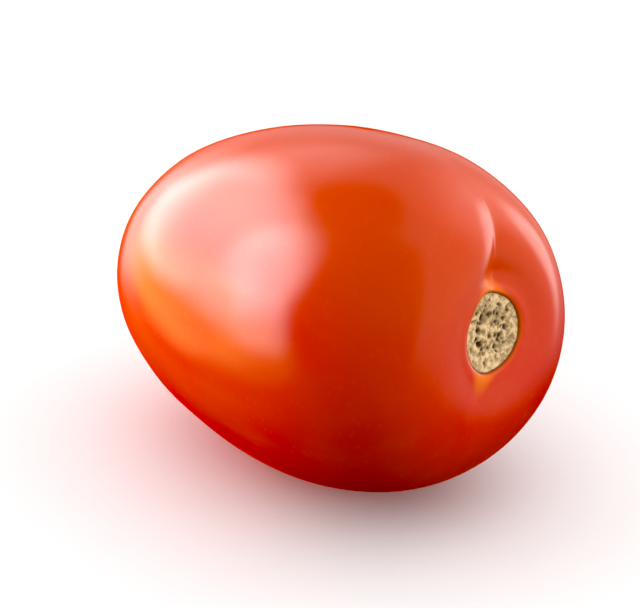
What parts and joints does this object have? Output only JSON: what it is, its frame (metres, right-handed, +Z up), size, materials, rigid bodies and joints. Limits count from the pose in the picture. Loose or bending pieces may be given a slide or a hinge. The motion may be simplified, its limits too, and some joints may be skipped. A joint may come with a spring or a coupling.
{
  "type": "plum tomato",
  "caption": "Ripe plum tomato as picked, egg-shaped, with a corky stem scar, two furrows and a small blossom tip, lying on its side.",
  "frame": {"origin": "middle of the bounding box's underside, on the plane of the flat resting spot", "axes": "+X along the fruit toward the stem end, +Z up, +Y across the fruit"},
  "size_m": [0.067, 0.045, 0.0491],
  "materials": {
    "skin": "ripe orange-red tomato skin with a waxy gloss; the stem scar is dry tan cork"
  },
  "bodies": {
    "root": {"tomato": "skin"}
  },
  "joints": []
}
